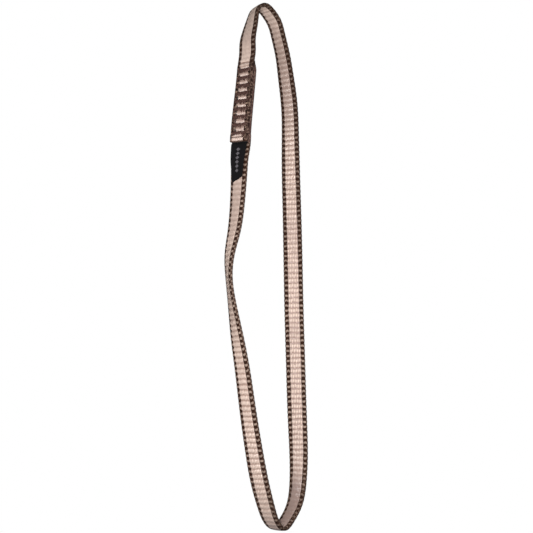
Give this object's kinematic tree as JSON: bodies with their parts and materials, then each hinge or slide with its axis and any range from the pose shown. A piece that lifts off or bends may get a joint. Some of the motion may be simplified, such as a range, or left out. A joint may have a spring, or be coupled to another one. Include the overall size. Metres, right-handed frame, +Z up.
{
  "type": "sewn webbing sling",
  "caption": "Closed loop of narrow woven polyethylene webbing, hanging slightly twisted, joined by a bar-tacked lap with a small flapping label at its mouth.",
  "frame": {"origin": "middle of the tape's inner face at the top bend, where the loop hangs on a support", "axes": "+Z up with the loop hanging down from the origin, +Y along the tape's width at the top bend, +X across the loop's opening, away from the lapped strand"},
  "size_m": [0.0646, 0.0139, 0.2941],
  "materials": {
    "webbing": "satin",
    "thread": "satin",
    "label": "matte"
  },
  "bodies": {
    "loop": {"webbing": "webbing", "bar_tack_1_needle_thread": "thread", "bar_tack_1_bobbin_thread": "thread", "bar_tack_2_needle_thread": "thread", "bar_tack_2_bobbin_thread": "thread", "bar_tack_3_needle_thread": "thread", "bar_tack_3_bobbin_thread": "thread", "bar_tack_4_needle_thread": "thread", "bar_tack_4_bobbin_thread": "thread", "bar_tack_5_needle_thread": "thread", "bar_tack_5_bobbin_thread": "thread", "bar_tack_6_needle_thread": "thread", "bar_tack_6_bobbin_thread": "thread", "bar_tack_7_needle_thread": "thread", "bar_tack_7_bobbin_thread": "thread", "bar_tack_8_needle_thread": "thread", "bar_tack_8_bobbin_thread": "thread", "bar_tack_9_needle_thread": "thread", "bar_tack_9_bobbin_thread": "thread", "label_seam_needle_thread": "thread", "label_seam_bobbin_thread": "thread", "label_sewn_end": "label"},
    "label_free_end": {"label_flap": "label"}
  },
  "joints": [
    {"name": "label_hinge", "type": "hinge", "parent": "loop", "child": "label_free_end", "pos_m": [-0.01919, 0.0007, -0.0822], "axis": [-0.1834, 0.9826, 0.0292], "range_deg": [0, 80]}
  ]
}
